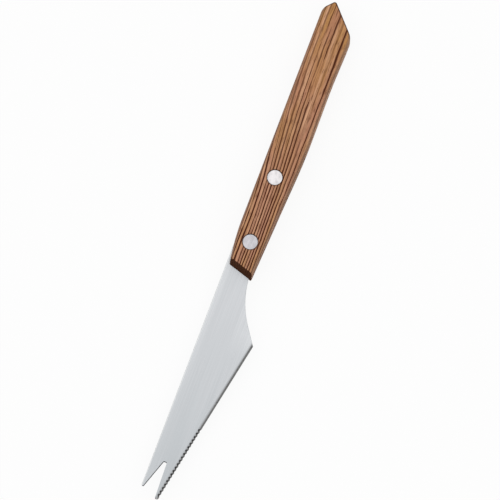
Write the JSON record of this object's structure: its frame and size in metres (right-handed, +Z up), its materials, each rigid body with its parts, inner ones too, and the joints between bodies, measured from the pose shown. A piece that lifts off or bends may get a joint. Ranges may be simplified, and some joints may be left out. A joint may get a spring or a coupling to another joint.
{
  "type": "bar knife",
  "caption": "Bar knife with a forked, part-serrated stainless blade riveted into a slotted wooden handle, for slicing fruit and picking up the slices.",
  "frame": {"origin": "under the middle of the knife, on the plane that it lies on", "axes": "+X along the blade towards its tip, +Y from the spine towards the cutting edge, +Z up out of the face with the serration"},
  "size_m": [0.212, 0.022, 0.012],
  "materials": {
    "steel": "satin brushed along the blade",
    "wood": "oiled, open dark grain along the handle",
    "rivet": "polished, slightly domed"
  },
  "bodies": {
    "root": {"blade": "steel", "handle": "wood", "front_rivet_post": "rivet", "front_rivet_sleeve": "rivet", "rear_rivet_post": "rivet", "rear_rivet_sleeve": "rivet"}
  },
  "joints": []
}
